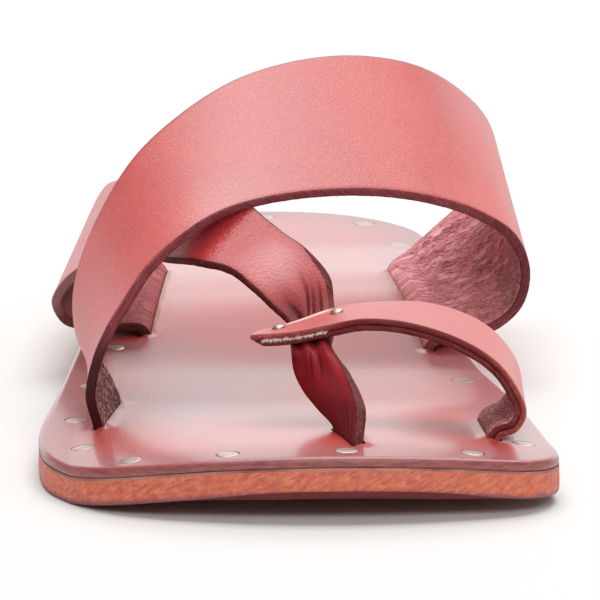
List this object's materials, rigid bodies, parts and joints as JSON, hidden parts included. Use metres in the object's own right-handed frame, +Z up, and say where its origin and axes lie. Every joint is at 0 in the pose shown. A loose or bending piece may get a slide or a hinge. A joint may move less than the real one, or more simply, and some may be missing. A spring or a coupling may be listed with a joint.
{
  "type": "sandal",
  "caption": "Flat leather sandal for the right foot: nailed two-ply sole, a wide instep strap crossing over a thong strap, and a riveted big-toe loop.",
  "frame": {"origin": "on the floor, under the middle of the sandal's box", "axes": "+Z up from the floor, +Y from toe to heel, +X towards the big-toe side of the right foot"},
  "size_m": [0.1018, 0.2708, 0.0667],
  "materials": {
    "sole_leather": "vegetable-tanned sole bend, cut edge, dyed and burnished along its lower line",
    "insole_leather": "glazed red grain, polished",
    "strap_leather": "smooth rose-red grain, satin, with dark dyed edges and a fibrous flesh side",
    "nail_steel": "flattened nail and rivet heads, worn bright"
  },
  "bodies": {
    "root": {"outsole": "sole_leather", "insole": "insole_leather", "upper": "strap_leather", "loop_rivet_1": "nail_steel", "loop_rivet_2": "nail_steel", "sole_nail_01": "nail_steel", "sole_nail_02": "nail_steel", "sole_nail_03": "nail_steel", "sole_nail_04": "nail_steel", "sole_nail_05": "nail_steel", "sole_nail_06": "nail_steel", "sole_nail_07": "nail_steel", "sole_nail_08": "nail_steel", "sole_nail_09": "nail_steel", "sole_nail_10": "nail_steel", "sole_nail_11": "nail_steel", "sole_nail_12": "nail_steel", "sole_nail_13": "nail_steel", "sole_nail_14": "nail_steel", "sole_nail_15": "nail_steel", "sole_nail_16": "nail_steel", "sole_nail_17": "nail_steel", "sole_nail_18": "nail_steel"}
  },
  "joints": []
}
